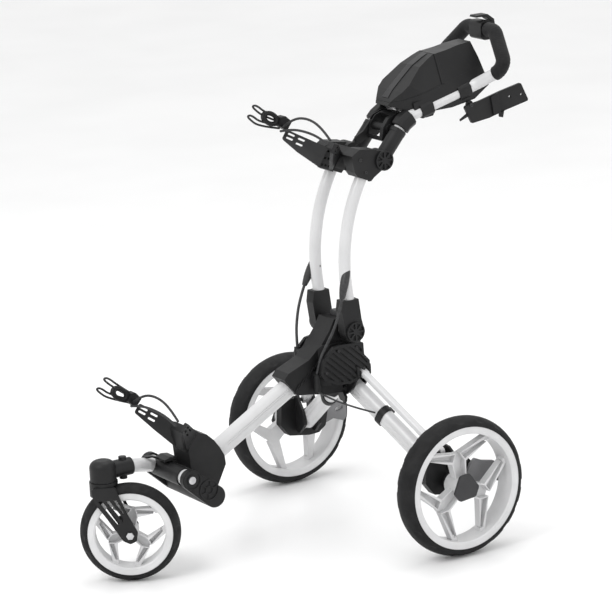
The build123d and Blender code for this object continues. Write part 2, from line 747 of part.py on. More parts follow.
BOSS = side(-430, 153)
with BuildPart() as lower_block:
    for near, thick in ((66.5, 13.5), (-96, 13)):
        with BuildSketch(Plane.YZ.offset(near)):
            with Locations((ARM_Y, ARM_Z)):
                Circle(21)
            with Locations(BOSS):
                Circle(23)
            make_hull()
        extrude(amount=thick)
    with BuildSketch(Plane.YZ.offset(-96)):
        with Locations(BOSS):
            Circle(23)
    extrude(amount=176)
    with BuildSketch(Plane.YZ):
        with BuildLine():
            Polyline(
                side(-451, 292), side(-429, 276), side(-415, 271), side(-399, 256), side(-386, 238),
                side(-376, 219), side(-374, 200), side(-400, 150), side(-430, 150), side(-440, 178),
                side(-456, 206), side(-459, 240), side(-462, 280), close=True,
            )
        make_face()
    extrude(amount=33, both=True)
    with BuildSketch(FRONT_SECTION):
        SlotOverall(TUBE_H, TUBE_W, rotation=90)
    extrude(amount=338, mode=Mode.SUBTRACT)
    with BuildSketch(Plane.YZ.offset(-100)):
        with Locations((ARM_Y, ARM_Z)):
            Circle(8)
    extrude(amount=200, mode=Mode.SUBTRACT)
lower_block.part.label = "lower_block"
export_step(lower_block.part, "parts/lower_block.step")


def cradle(base_y, base_z, tip_y, tip_z):
    """V-shaped bag cradle: two wings with slots near the tips and a perforated web between them."""
    base = Vector(22, base_y, base_z)
    along = Vector(98, tip_y, tip_z) - base
    length = along.length
    height = Vector(0, tip_z - base_z, base_y - tip_y).normalized()
    wing_plane = Plane(origin=base, x_dir=along, z_dir=along.cross(height))
    web_plane = Plane(origin=(0, base_y, base_z), x_dir=(1, 0, 0), z_dir=Vector(1, 0, 0).cross(height))
    with BuildPart() as bracket:
        with BuildSketch(wing_plane):
            with BuildLine():
                Polyline((0, 0), (length, 0), (length, -22), (60, -34), (0, -45), close=True)
            make_face()
            fillet(vertices().group_by(Axis.X)[-1], 5)
            with Locations((length - 14, -6), (length - 14, -15), (length - 38, -7), (length - 38, -18)):
                SlotOverall(17, 4.5, mode=Mode.SUBTRACT)
        extrude(amount=7)
        mirror(about=RIGHT)
        with BuildSketch(web_plane):
            with Locations((0, -22.5)):
                Rectangle(50, 45)
            with Locations((0, -22.5)):
                with GridLocations(13, 15, 3, 3):
                    SlotOverall(9, 5, mode=Mode.SUBTRACT)
        extrude(amount=7)
    return bracket.part


def toggle(y, z, lean):
    """Strap hook on a cradle's tip: a block with a tall ring on top."""
    ring_plane = Plane(origin=(-98, y, z), x_dir=(0, -math.cos(lean), math.sin(lean)), z_dir=(1, 0, 0))
    with BuildPart() as hook:
        with BuildSketch(ring_plane.offset(-10)):
            with BuildLine():
                Polyline((-14, -10), (6, -14), (14, -8), (12, 10), (-12, 12), close=True)
            make_face()
            fillet(vertices(), 3)
        extrude(amount=20)
        with BuildSketch(ring_plane.offset(-5)):
            with Locations((32, 4)):
                SlotOverall(42, 24)
                SlotOverall(30, 12, mode=Mode.SUBTRACT)
        extrude(amount=10)
    return hook.part


lower_cradle = cradle(AXLE_Y - 427, 272, AXLE_Y - 494, 324)
with BuildPart() as lower_cradle_cut:
    add(lower_cradle)
    add(lower_block.part, mode=Mode.SUBTRACT)
    with BuildSketch(FRONT_SECTION):
        SlotOverall(TUBE_H, TUBE_W, rotation=90)
    extrude(amount=338, mode=Mode.SUBTRACT)
lower_cradle_cut.part.label = "lower_cradle"
export_step(lower_cradle_cut.part, "parts/lower_cradle.step")

upper_cradle = cradle(AXLE_Y - 51, 801, AXLE_Y - 106, 838)
upper_cradle.label = "upper_cradle"
export_step(upper_cradle, "parts/upper_cradle.step")

for name, hook, plate in (
    ("upper_toggle", toggle(AXLE_Y - 116, 855, 0.55), upper_cradle),
    ("lower_toggle", toggle(AXLE_Y - 511, 337, 0.65), lower_cradle_cut.part),
):
    with BuildPart() as strap_hook:
        add(hook)
        add(plate, mode=Mode.SUBTRACT)
    strap_hook.part.label = name
    export_step(strap_hook.part, f"parts/{name}.step")

# Two elastic cords cross each cradle from the left tip to the hook on the right tip.
for name, tip_y, tip_z, lean in (("upper_bungee", -121, 846, 0.55), ("lower_bungee", -513, 331, 0.65)):
    with BuildPart() as bungee:
        for step in (0, 1):
            start = Vector(94, AXLE_Y + tip_y - 6 * step, tip_z - 8 * step)
            end = Vector(-87.1, start.Y, start.Z)
            bow = Vector(0, -5 * math.cos(lean), 5 * math.sin(lean))
            with BuildLine():
                ThreePointArc(start, (start + end) / 2 + bow, end)
            with BuildSketch(Plane(origin=start, x_dir=(0, 0, 1), z_dir=(-1, 0, 0))):
                Circle(3)
            sweep()
    bungee.part.label = name
    export_step(bungee.part, f"parts/{name}.step")

# ================================================================ upper frame
with BuildPart() as uprights:
    with BuildLine() as upright_line:
        rod_low = Line((UPRIGHT_X, *side(-69.8, 456)), (UPRIGHT_X, *side(-76.8, 522)))
        TangentArc((UPRIGHT_X, *side(-76.8, 522)), (UPRIGHT_X, *side(-22, 760)), tangent=rod_low % 1)
    with BuildSketch(Plane(origin=rod_low @ 0, x_dir=(1, 0, 0), z_dir=rod_low % 0)):
        Circle(TUBE_R)
        Circle(TUBE_R - TUBE_WALL, mode=Mode.SUBTRACT)
    sweep()
    mirror(about=RIGHT)
uprights.part.label = "uprights"
export_step(uprights.part, "parts/uprights.step")

with BuildPart() as upright_space:
    with BuildSketch(Plane(origin=rod_low @ 0, x_dir=(1, 0, 0), z_dir=rod_low % 0)):
        Circle(TUBE_R)
    sweep(path=upright_line.line)
    mirror(about=RIGHT)

with BuildPart() as hub_sockets:
    with BuildSketch(Plane.YZ.offset(43.6)):
        with Locations(FOLD):
            Circle(23)
        with BuildLine():
            Polyline(
                side(-94, 500), side(-57, 500), side(-52, 456), side(-47, 436), side(-70, 420),
                side(-92, 428), side(-98, 476), close=True,
            )
        make_face()
    extrude(amount=26.4)
    with BuildSketch(Plane.YZ.offset(40)):
        with Locations(FOLD):
            Circle(8 + FIT)
    extrude(amount=40, mode=Mode.SUBTRACT)
    with BuildLine():
        rod_low = Line((UPRIGHT_X, *side(-69.8, 456)), (UPRIGHT_X, *side(-76.8, 522)))
    with BuildSketch(Plane(origin=rod_low @ 0, x_dir=(1, 0, 0), z_dir=rod_low % 0)):
        Circle(TUBE_R)
    extrude(amount=90, mode=Mode.SUBTRACT)
    mirror(about=RIGHT)
hub_sockets.part.label = "hub_sockets"
export_step(hub_sockets.part, "parts/hub_sockets.step")

KNUCKLE = (KNUCKLE_Y, KNUCKLE_Z)
with BuildPart() as upper_bracket:
    with BuildSketch(Plane.YZ.offset(38)):
        with BuildLine():
            Polyline(
                side(-54, 765), side(-47, 755), side(-16, 742), side(-5, 752), side(0, 760),
                side(0, 806), side(-40, 812), side(-60, 800), close=True,
            )
        make_face()
    extrude(amount=37)
    with BuildSketch(Plane.YZ.offset(68)):
        with Locations(KNUCKLE):
            Circle(21)
        with BuildLine():
            Polyline(side(-20, 742), side(10, 760), side(34, 770), side(10, 802), side(-20, 809), close=True)
        make_face()
    extrude(amount=7)
    with BuildSketch(Plane.YZ.offset(60)):
        with Locations(KNUCKLE):
            Circle(6)
    extrude(amount=20, mode=Mode.SUBTRACT)
    with BuildSketch(Plane.YZ.offset(30)):
        with Locations(KNUCKLE):
            Circle(28.5)
    extrude(amount=38, mode=Mode.SUBTRACT)
    mirror(about=RIGHT)
    with BuildSketch(Plane.YZ):
        with BuildLine():
            Polyline(side(-56, 800), side(-40, 812), side(-24, 800), side(-30, 780), side(-56, 766), close=True)
        make_face()
    extrude(amount=40, both=True)
    add(upper_cradle, mode=Mode.SUBTRACT)
    add(upright_space.part, mode=Mode.SUBTRACT)
upper_bracket.part.label = "upper_bracket"
export_step(upper_bracket.part, "parts/upper_bracket.step")

with BuildPart() as pivot_caps:
    for x, centre in ((70, FOLD), (75, KNUCKLE)):
        with BuildSketch(Plane.YZ.offset(x)):
            with Locations(centre):
                Circle(21)
        extrude(amount=5)
        with BuildSketch(Plane.YZ.offset(x + 2)):
            with Locations(centre):
                Circle(18)
                Circle(7, mode=Mode.SUBTRACT)
            for turn in range(4):
                with Locations(Location((*centre, 0), (0, 0, 45 * turn))):
                    Rectangle(38, 4, mode=Mode.SUBTRACT)
        extrude(amount=4, mode=Mode.SUBTRACT)
    mirror(about=RIGHT)
pivot_caps.part.label = "pivot_caps"
export_step(pivot_caps.part, "parts/pivot_caps.step")

with BuildPart() as knuckle_pin:
    with BuildSketch(Plane.YZ.offset(-75)):
        with Locations(KNUCKLE):
            Circle(6)
    extrude(amount=150)
knuckle_pin.part.label = "knuckle_pin"
export_step(knuckle_pin.part, "parts/knuckle_pin.step")

# ================================================================ handle
RAIL_PATH = [
    (RAIL_X, AXLE_Y + 40, 793.5),
    (RAIL_X, AXLE_Y + 93.7, 855.3),
    (RAIL_X, AXLE_Y + 263, 897.2),
    (119, AXLE_Y + 300, 940),
    (50, AXLE_Y + 324, 1006),
]
RAIL_BENDS = [60, 40, 24, 24]
LOOP_PATH = RAIL_PATH + [(-x, y, z) for x, y, z in reversed(RAIL_PATH)]
with BuildPart() as handle_tube:
    with BuildLine() as handle_line:
        FilletPolyline(*LOOP_PATH, radius=RAIL_BENDS + RAIL_BENDS[::-1])
    with BuildSketch(Plane(origin=handle_line.line @ 0, z_dir=handle_line.line % 0)):
        Circle(TUBE_R)
        Circle(TUBE_R - TUBE_WALL, mode=Mode.SUBTRACT)
    sweep()
handle_tube.part.label = "handle_tube"
export_step(handle_tube.part, "parts/handle_tube.step")

GRIP_R = 15.5
splay = Vector(*RAIL_PATH[2]) - Vector(*RAIL_PATH[3])
grip_start = Vector(*RAIL_PATH[3]) + splay.normalized() * 30
with BuildPart() as grips:
    with BuildLine() as grip_line:
        FilletPolyline(
            grip_start, RAIL_PATH[3], RAIL_PATH[4], (22, AXLE_Y + 324, 1006),
            radius=[24, 24],
        )
    with BuildSketch(Plane(origin=grip_line.line @ 0, z_dir=grip_line.line % 0)):
        Circle(GRIP_R)
        Circle(TUBE_R, mode=Mode.SUBTRACT)
    sweep()
    mirror(about=RIGHT)
grips.part.label = "grips"
export_step(grips.part, "parts/grips.step")

with BuildPart() as brake_housing:
    with Locations((0, AXLE_Y + 324, 1004)):
        Box(44, 32, 40)
    fillet(edges().filter_by(Axis.X), 11)
    add(handle_tube.part, mode=Mode.SUBTRACT)
    with Locations((0, AXLE_Y + 324, 1006)):
        Cylinder(TUBE_R, 44, rotation=(0, 90, 0), mode=Mode.SUBTRACT)
    with Locations((0, AXLE_Y + 345, 1002)):
        Box(24.8, 30, 16, mode=Mode.SUBTRACT)
brake_housing.part.label = "brake_housing"
export_step(brake_housing.part, "parts/brake_housing.step")

with BuildPart() as brake_lever:
    with BuildSketch(Plane.YZ.offset(-12)):
        with BuildLine():
            Polyline(
                side(338.5, 1006), side(338.5, 996), side(348, 994), side(353, 1002), side(350, 1024),
                side(334, 1036), side(306, 1036), side(304, 1032), side(328, 1031.5), side(344.5, 1020),
                side(345, 1006),
                close=True,
            )
        make_face()
    extrude(amount=24)
brake_lever.part.label = "brake_lever"
export_step(brake_lever.part, "parts/brake_lever.step")

sleeve_dir = Vector(0, 53.7, 61.8).normalized()
with BuildPart() as knuckle_sleeves:
    with BuildSketch(Plane(origin=(RAIL_X, AXLE_Y + 28, 779.7), x_dir=(1, 0, 0), z_dir=sleeve_dir)):
        with Locations((2, 0)):
            Circle(16.5)
    extrude(amount=62)
    with BuildSketch(Plane(origin=(RAIL_X, AXLE_Y + 68, 825.7), x_dir=(1, 0, 0), z_dir=sleeve_dir)):
        with Locations((1, 0)):
            Circle(17.5)
    extrude(amount=9)
    with BuildSketch(Plane.YZ.offset(40)):
        with Locations(KNUCKLE):
            Circle(21)
    extrude(amount=27)
    with BuildSketch(Plane.YZ.offset(30)):
        with Locations(KNUCKLE):
            Circle(6 + FIT)
    extrude(amount=50, mode=Mode.SUBTRACT)
    with Locations((75, AXLE_Y + 30, 790)):
        Box(16, 120, 120, mode=Mode.SUBTRACT)
    add(handle_tube.part, mode=Mode.SUBTRACT)
    with BuildSketch(Plane(origin=(RAIL_X, AXLE_Y + 40, 793.5), x_dir=(1, 0, 0), z_dir=sleeve_dir)):
        Circle(TUBE_R)
    extrude(amount=80, mode=Mode.SUBTRACT)
    mirror(about=RIGHT)
knuckle_sleeves.part.label = "knuckle_sleeves"
export_step(knuckle_sleeves.part, "parts/knuckle_sleeves.step")

with BuildPart() as clamp_bridge:
    with BuildSketch(Plane.YZ.offset(-31)):
        with BuildLine():
            Polyline(
                side(43, 812), side(52, 806), side(74, 818), side(100, 842), side(118, 850),
                side(116, 858), side(84, 864), side(62, 856), side(48, 838), close=True,
            )
        make_face()
        fillet(vertices(), 4)
    extrude(amount=62)
    with BuildSketch(Plane.YZ.offset(-20)):
        with BuildLine():
            Polyline(side(50, 800), side(76, 812), side(92, 828), side(70, 870), side(40, 836), close=True)
        make_face()
    extrude(amount=40, mode=Mode.SUBTRACT)
    with Locations((-26, AXLE_Y + 60, 835)):
        Box(7, 120, 100, mode=Mode.SUBTRACT)
    with BuildSketch(Plane.YZ.offset(-35)):
        with Locations(side(62, 834)):
            Circle(9)
    extrude(amount=70)
    add(knuckle_sleeves.part, mode=Mode.SUBTRACT)
    add(handle_tube.part, mode=Mode.SUBTRACT)
clamp_bridge.part.label = "clamp_bridge"
export_step(clamp_bridge.part, "parts/clamp_bridge.step")

# ---------------------------------------------------------------- console between the rails
RIDGE = [
    side(73, 891), side(89, 908), side(115, 931), side(141, 953), side(167, 967), side(180, 973),
    side(218, 978), side(244, 983), side(280, 987), side(289, 955), side(299, 897),
]
SEAM_LOW = side(98, 893)
SEAM_HIGH = side(255, 930)


def console_shell(inset):
    """Console body: ridge profile, sloping flanks, tapered plan; the inset makes its hollow."""
    with BuildPart() as shell:
        with BuildSketch(Plane.YZ):
            with BuildLine():
                Polyline(*RIDGE, side(262, 872), side(205, 862), side(139, 861), side(102, 868), side(66, 880), close=True)
            make_face()
            offset(amount=-inset, kind=Kind.INTERSECTION)
        extrude(amount=80, both=True)
        with BuildSketch(Plane.XZ.offset(-AXLE_Y - 40)):
            with BuildLine():
                Polyline(
                    (16 - inset, 1000), (57 - inset, 905), (57 - inset, 850),
                    (inset - 57, 850), (inset - 57, 905), (inset - 16, 1000), close=True,
                )
            make_face()
        extrude(amount=-280, mode=Mode.INTERSECT)
        with BuildSketch(Plane.XY.offset(840)):
            with BuildLine():
                Polyline(
                    (22 - inset, AXLE_Y + 66), (46 - inset, AXLE_Y + 90), (57 - inset, AXLE_Y + 130),
                    (57 - inset, AXLE_Y + 305), (inset - 57, AXLE_Y + 305), (inset - 57, AXLE_Y + 130),
                    (inset - 46, AXLE_Y + 90), (inset - 22, AXLE_Y + 66), close=True,
                )
            make_face()
        extrude(amount=200, mode=Mode.INTERSECT)
    return shell.part


console_outer = console_shell(0)
console_inner = console_shell(3)
with BuildPart() as rail_space:
    with BuildLine() as half_rail:
        FilletPolyline(*RAIL_PATH[:4], radius=RAIL_BENDS[:2])
    with BuildSketch(Plane(origin=half_rail.line @ 0, z_dir=half_rail.line % 0)):
        Circle(TUBE_R)
    sweep()
    mirror(about=RIGHT)

seam_dir = Vector(0, SEAM_HIGH[0] - SEAM_LOW[0], SEAM_HIGH[1] - SEAM_LOW[1])
SEAM = Plane(origin=(0, *SEAM_LOW), x_dir=(1, 0, 0), z_dir=Vector(1, 0, 0).cross(seam_dir))
LID_END = AXLE_Y + 182
SADDLES = (
    (side(108, 884), side(112, 862), side(138, 850), side(156, 852), side(162, 866), side(158, 892)),
    (side(226, 896), side(222, 880), side(230, 866), side(262, 872), side(272, 884), side(264, 902)),
)
with BuildPart() as console_base:
    add(console_outer)
    split(bisect_by=SEAM, keep=Keep.BOTTOM)
    with BuildPart(mode=Mode.PRIVATE) as inner_low:
        add(console_inner)
        split(bisect_by=SEAM, keep=Keep.BOTTOM)
    add(inner_low.part, mode=Mode.SUBTRACT)
    for flank in (-57, 36):
        with BuildSketch(Plane.YZ.offset(flank)):
            for saddle in SADDLES:
                with BuildLine():
                    Polyline(*saddle, close=True)
                make_face()
        extrude(amount=21)
    add(rail_space.part, mode=Mode.SUBTRACT)
    add(clamp_bridge.part, mode=Mode.SUBTRACT)
    add(knuckle_sleeves.part, mode=Mode.SUBTRACT)
console_base.part.label = "console_base"
export_step(console_base.part, "parts/console_base.step")

with BuildPart() as console_top:
    add(console_outer)
    add(console_inner, mode=Mode.SUBTRACT)
    split(bisect_by=SEAM, keep=Keep.TOP)
    add(rail_space.part, mode=Mode.SUBTRACT)

with BuildPart() as console_hood:
    add(console_top.part)
    with BuildSketch(Plane.XY.offset(840)):
        with Locations((0, LID_END - 150)):
            Rectangle(200, 300)
    extrude(amount=200, mode=Mode.SUBTRACT)
console_hood.part.label = "console_hood"
export_step(console_hood.part, "parts/console_hood.step")

with BuildPart() as console_lid:
    add(console_top.part)
    with BuildSketch(Plane.XY.offset(840)):
        with Locations((0, LID_END + 149.5)):
            Rectangle(200, 300)
    extrude(amount=200, mode=Mode.SUBTRACT)
    split(bisect_by=SEAM.offset(0.5), keep=Keep.TOP)
console_lid.part.label = "console_lid"
export_step(console_lid.part, "parts/console_lid.step")

with BuildPart() as accessory_plate:
    with BuildSketch(Plane.YZ.offset(60.5)):
        with BuildLine():
            Polyline(
                side(228, 861), side(246, 823), side(290, 828), side(334, 839), side(393, 851), side(374, 891),
                side(323, 881), side(270, 868), close=True,
            )
        make_face()
        fillet(vertices(), 4)
        with Locations(side(345, 866), side(375, 866)):
            Circle(3, mode=Mode.SUBTRACT)
    extrude(amount=6)
    with BuildSketch(Plane.YZ.offset(57)):
        with Locations(side(246, 862)):
            Circle(9)
    extrude(amount=3.5)
accessory_plate.part.label = "accessory_plate"
export_step(accessory_plate.part, "parts/accessory_plate.step")

LOCK_Y, LOCK_Z = AXLE_Y + 62, 832
with BuildPart() as handle_lock_lever:
    with BuildSketch(Plane.YZ.offset(-29)):
        with BuildLine():
            Polyline(
                side(52, 846), side(66, 848), side(76, 836), side(68, 821), side(46, 812), side(24, 800),
                side(14, 806), side(14, 816), side(34, 826), close=True,
            )
        make_face()
        fillet(vertices(), 4)
        with Locations(side(62, 834)):
            Circle(9 + FIT, mode=Mode.SUBTRACT)
    extrude(amount=6)
handle_lock_lever.part.label = "handle_lock_lever"
export_step(handle_lock_lever.part, "parts/handle_lock_lever.step")

# ================================================================ cables
CABLE_R = 3.0
WHEEL_CABLE_R = 2.0


def gentle(points):
    """Smooth route through a few points, every corner as a large arc."""
    radii = []
    for before, corner, after in zip(points, points[1:], points[2:]):
        run_in = corner - before
        run_out = after - corner
        turn = math.radians(run_in.get_angle(run_out))
        radii.append(0.45 * min(run_in.length, run_out.length) / math.tan(turn / 2))
    print("cable radii", [round(r) for r in radii])
    return FilletPolyline(*points, radius=radii)


CABLE_ROUTES = (
    [
        Vector(70, AXLE_Y - 98, 506),
        Vector(69.5, AXLE_Y - 105, 479),
        Vector(60, AXLE_Y - 114.5, 441),
        Vector(51, AXLE_Y - 130, 408),
        Vector(46, AXLE_Y - 144, 380),
        Vector(42, AXLE_Y - 150, 350),
    ],
    [
        Vector(-70, AXLE_Y - 101, 510),
        Vector(-68, AXLE_Y - 116, 480),
        Vector(-61, AXLE_Y - 129, 444),
        Vector(-52, AXLE_Y - 137.6, 416),
        Vector(-45, AXLE_Y - 141, 390),
    ],
)
with BuildPart() as brake_cables:
    for route in CABLE_ROUTES:
        with BuildLine() as cable_line:
            gentle(route)
        with BuildSketch(Plane(origin=cable_line.line @ 0, z_dir=cable_line.line % 0)):
            Circle(CABLE_R)
        sweep()
    add(hub_body.part, mode=Mode.SUBTRACT)
brake_cables.part.label = "brake_cables"
export_step(brake_cables.part, "parts/brake_cables.step")

# Rubber glands on the uprights, where the cables come out of the tubes.
with BuildPart() as cable_glands:
    for route, sx in zip(CABLE_ROUTES, (1, -1)):
        foot = route[0]
        middle = Vector(sx * 67, AXLE_Y - 89, foot.Z + 27)
        top = Vector(sx * 61, AXLE_Y - 76, foot.Z + 58)
        with BuildSketch(Plane(origin=foot, z_dir=foot - route[1])):
            Circle(5)
        with BuildSketch(Plane(origin=middle, z_dir=top - foot)):
            Circle(9)
        with BuildSketch(Plane(origin=top, z_dir=top - middle)):
            Circle(7)
        loft()
    add(upright_space.part, mode=Mode.SUBTRACT)
    add(hub_sockets.part, mode=Mode.SUBTRACT)
cable_glands.part.label = "cable_glands"
export_step(cable_glands.part, "parts/cable_glands.step")

cable_end = across_leg(BAND_AT, 7, LEG_T / 2 + 4.5).origin
cable_start = CABLE_STOP_ENDS[0] - Vector(0, 0, 2.2)
with BuildPart() as wheel_cables:
    with BuildLine() as thin_line:
        ThreePointArc(cable_start, (cable_start + cable_end) / 2 + Vector(0, 0, -4), cable_end)
    with BuildSketch(Plane(origin=thin_line.line @ 0, z_dir=thin_line.line % 0)):
        Circle(WHEEL_CABLE_R)
    sweep()
    add(hub_body.part, mode=Mode.SUBTRACT)
    add(cable_band_left.part, mode=Mode.SUBTRACT)
    mirror(about=RIGHT)
wheel_cables.part.label = "wheel_cables"
export_step(wheel_cables.part, "parts/wheel_cables.step")
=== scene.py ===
import json
import math

import bmesh
import bpy
from mathutils import Matrix, Vector


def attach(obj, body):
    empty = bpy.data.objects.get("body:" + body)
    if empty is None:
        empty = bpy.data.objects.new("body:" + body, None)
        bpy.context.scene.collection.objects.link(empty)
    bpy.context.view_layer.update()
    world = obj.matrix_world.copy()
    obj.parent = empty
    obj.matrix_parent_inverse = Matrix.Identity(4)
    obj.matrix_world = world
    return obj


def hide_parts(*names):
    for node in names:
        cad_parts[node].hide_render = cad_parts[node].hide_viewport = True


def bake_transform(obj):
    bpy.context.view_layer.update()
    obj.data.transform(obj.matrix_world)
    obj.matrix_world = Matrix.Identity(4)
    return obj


# Golf push trolley. Metres, +Z up, the trolley drives towards -Y and stands on z = 0.
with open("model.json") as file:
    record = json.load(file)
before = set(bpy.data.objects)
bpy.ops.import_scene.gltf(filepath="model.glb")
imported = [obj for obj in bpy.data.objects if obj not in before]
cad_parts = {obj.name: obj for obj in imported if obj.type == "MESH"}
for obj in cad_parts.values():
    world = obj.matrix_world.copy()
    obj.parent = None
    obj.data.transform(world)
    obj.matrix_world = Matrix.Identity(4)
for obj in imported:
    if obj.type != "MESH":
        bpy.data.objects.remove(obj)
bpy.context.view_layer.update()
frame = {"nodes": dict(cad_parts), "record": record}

AXLE_Y = 0.1505  # rear axle
REAR_R = 0.146
REAR_X = 0.330
FRONT_R = 0.1025
STEER = math.radians(-31.2)  # the front wheel's turn at rest, about its swivel
SWIVEL_Y = -641.5  # millimetres from the rear axle
TRAIL = 0.048  # the front axle's distance behind the swivel
HANDS = (("left", 1), ("right", -1))  # the trolley's own sides, and the sign of x there


def side_point(x, y, z):
    """A point with y counted from the rear axle, in millimetres, as a place in the frame."""
    return Vector((x / 1000, AXLE_Y + y / 1000, z / 1000))


# ---------------------------------------------------------------- camera
CAMERA_ANGLES = (58.513, 14.32, -2.98)  # azimuth, elevation and roll, in degrees
CAMERA_DISTANCE = 7.00644
CAMERA_TARGET = side_point(0, -142.21, 486.27)
LENS_MM = 199.2


def make_camera():
    azimuth, elevation, roll = (math.radians(a) for a in CAMERA_ANGLES)
    back = Vector((
        math.sin(azimuth) * math.cos(elevation),
        -math.cos(azimuth) * math.cos(elevation),
        math.sin(elevation),
    ))
    right = Vector((math.cos(azimuth), math.sin(azimuth), 0))
    up = back.cross(right)
    right, up = (
        right * math.cos(roll) + up * math.sin(roll),
        up * math.cos(roll) - right * math.sin(roll),
    )
    camera = bpy.data.objects.new("camera", bpy.data.cameras.new("camera"))
    camera.data.lens = LENS_MM
    camera.data.sensor_width = 36
    camera.data.clip_end = 50
    place = Matrix((right, up, back)).transposed().to_4x4()
    place.translation = CAMERA_TARGET + back * CAMERA_DISTANCE
    camera.matrix_world = place
    bpy.context.scene.collection.objects.link(camera)
    bpy.context.scene.camera = camera


make_camera()


# ---------------------------------------------------------------- materials
RAMP_START, RAMP_END = 0.35, 0.65
GRAIN_DEPTH = 0.00006
PLASTIC_EDGE = 0.0007  # radius that softens the edges of mouldings


def tone(value, blue):
    """A grey with its own blue part."""
    return (value, value, blue, 1)


class Nodes:
    """Short way to build one material's node tree."""

    def __init__(self, name):
        self.material = bpy.data.materials.new(name)
        self.material.use_nodes = True
        self.tree = self.material.node_tree
        self.shader = self.tree.nodes["Principled BSDF"]
        self.coordinates = self.tree.nodes.new("ShaderNodeTexCoord").outputs["Object"]

    def set(self, **values):
        for name, value in values.items():
            self.shader.inputs[name.replace("_", " ")].default_value = value

    def noise(self, scale, detail, stretch=(1, 1, 1)):
        mapping = self.tree.nodes.new("ShaderNodeMapping")
        mapping.inputs["Scale"].default_value = stretch
        self.tree.links.new(self.coordinates, mapping.inputs["Vector"])
        node = self.tree.nodes.new("ShaderNodeTexNoise")
        node.inputs["Scale"].default_value = scale
        node.inputs["Detail"].default_value = detail
        self.tree.links.new(mapping.outputs["Vector"], node.inputs["Vector"])
        return node.outputs["Fac"]

    def ramp(self, value, low, high):
        node = self.tree.nodes.new("ShaderNodeValToRGB")
        node.color_ramp.elements[0].position = RAMP_START
        node.color_ramp.elements[1].position = RAMP_END
        node.color_ramp.elements[0].color = low
        node.color_ramp.elements[1].color = high
        self.tree.links.new(value, node.inputs["Fac"])
        return node.outputs["Color"]

    def span(self, value, low, high):
        node = self.tree.nodes.new("ShaderNodeMapRange")
        node.inputs["To Min"].default_value = low
        node.inputs["To Max"].default_value = high
        self.tree.links.new(value, node.inputs["Value"])
        return node.outputs["Result"]

    def link(self, value, socket):
        self.tree.links.new(value, self.shader.inputs[socket])

    def bump(self, height, strength, distance, rounded=0.0):
        node = self.tree.nodes.new("ShaderNodeBump")
        node.inputs["Strength"].default_value = strength
        node.inputs["Distance"].default_value = distance
        self.tree.links.new(height, node.inputs["Height"])
        if rounded:
            bevel = self.tree.nodes.new("ShaderNodeBevel")
            bevel.samples = 4
            bevel.inputs["Radius"].default_value = rounded
            self.tree.links.new(bevel.outputs["Normal"], node.inputs["Normal"])
        self.tree.links.new(node.outputs["Normal"], self.shader.inputs["Normal"])


    def colour(self, noise, dark, light):
        """Base colour wandering between two greys with the noise."""
        self.link(self.ramp(noise, tone(*dark), tone(*light)), "Base Color")

    def roughness(self, noise, low, high):
        self.link(self.span(noise, low, high), "Roughness")


def moulded_plastic(name, dark, light, low_rough, high_rough, grain=1400):
    """Moulded plastic: cloudy colour, fine spark-eroded grain, softly rounded edges."""
    nodes = Nodes(name)
    nodes.colour(nodes.noise(18, 3), dark, light)
    nodes.roughness(nodes.noise(60, 5), low_rough, high_rough)
    nodes.bump(nodes.noise(grain, 3), 0.35, GRAIN_DEPTH, PLASTIC_EDGE)
    nodes.set(Specular_IOR_Level=0.32)
    return nodes.material


def painted_tube():
    """White powder coat on aluminium: faint orange peel and a clear top."""
    nodes = Nodes("white_paint")
    nodes.colour(nodes.noise(9, 3), (0.60, 0.605), (0.65, 0.655))
    nodes.roughness(nodes.noise(120, 4), 0.24, 0.36)
    nodes.bump(nodes.noise(700, 3), 0.12, GRAIN_DEPTH, 0.0005)
    nodes.set(Coat_Weight=0.35, Coat_Roughness=0.12, Specular_IOR_Level=0.5)
    return nodes.material


def tyre_rubber():
    """Foam tyre: near black, dusty on the flanks, fine pitted skin."""
    nodes = Nodes("tyre_rubber")
    nodes.colour(nodes.noise(26, 6), (0.006, 0.0065), (0.013, 0.0135))
    nodes.roughness(nodes.noise(90, 4), 0.55, 0.78)
    nodes.bump(nodes.noise(900, 5), 0.5, 0.00012)
    nodes.set(Specular_IOR_Level=0.25)
    return nodes.material


def foam_rubber():
    """Handle foam: dull, softly cellular."""
    nodes = Nodes("foam_rubber")
    nodes.colour(nodes.noise(60, 5), (0.005, 0.0055), (0.010, 0.0105))
    nodes.roughness(nodes.noise(140, 4), 0.7, 0.92)
    nodes.bump(nodes.noise(1600, 6), 0.6, 0.00018)
    nodes.set(Specular_IOR_Level=0.3, Sheen_Weight=0.08)
    return nodes.material


def cable_casing():
    """Smooth extruded casing of the brake cables."""
    nodes = Nodes("cable_casing")
    nodes.colour(nodes.noise(150, 3), (0.016, 0.017), (0.032, 0.034))
    nodes.roughness(nodes.noise(300, 3), 0.38, 0.55)
    nodes.bump(nodes.noise(1200, 2), 0.25, 0.00005)
    return nodes.material


def elastic_cord():
    """Braided elastic: fine crossing ribs in the bump."""
    nodes = Nodes("elastic_cord")
    nodes.colour(nodes.noise(400, 3), (0.010, 0.011), (0.030, 0.031))
    nodes.roughness(nodes.noise(500, 3), 0.6, 0.85)
    wave = nodes.tree.nodes.new("ShaderNodeTexWave")
    wave.bands_direction = "DIAGONAL"
    wave.inputs["Scale"].default_value = 320
    nodes.tree.links.new(nodes.coordinates, wave.inputs["Vector"])
    nodes.bump(wave.outputs["Fac"], 0.5, 0.0003)
    return nodes.material


def plated_steel():
    """Zinc-plated steel with faint turning marks along X."""
    nodes = Nodes("plated_steel")
    nodes.colour(nodes.noise(40, 5), (0.42, 0.43), (0.6, 0.61))
    nodes.roughness(nodes.noise(30, 3, (1, 30, 30)), 0.24, 0.42)
    nodes.bump(nodes.noise(600, 3, (1, 12, 12)), 0.2, 0.00004)
    nodes.set(Metallic=1.0)
    return nodes.material


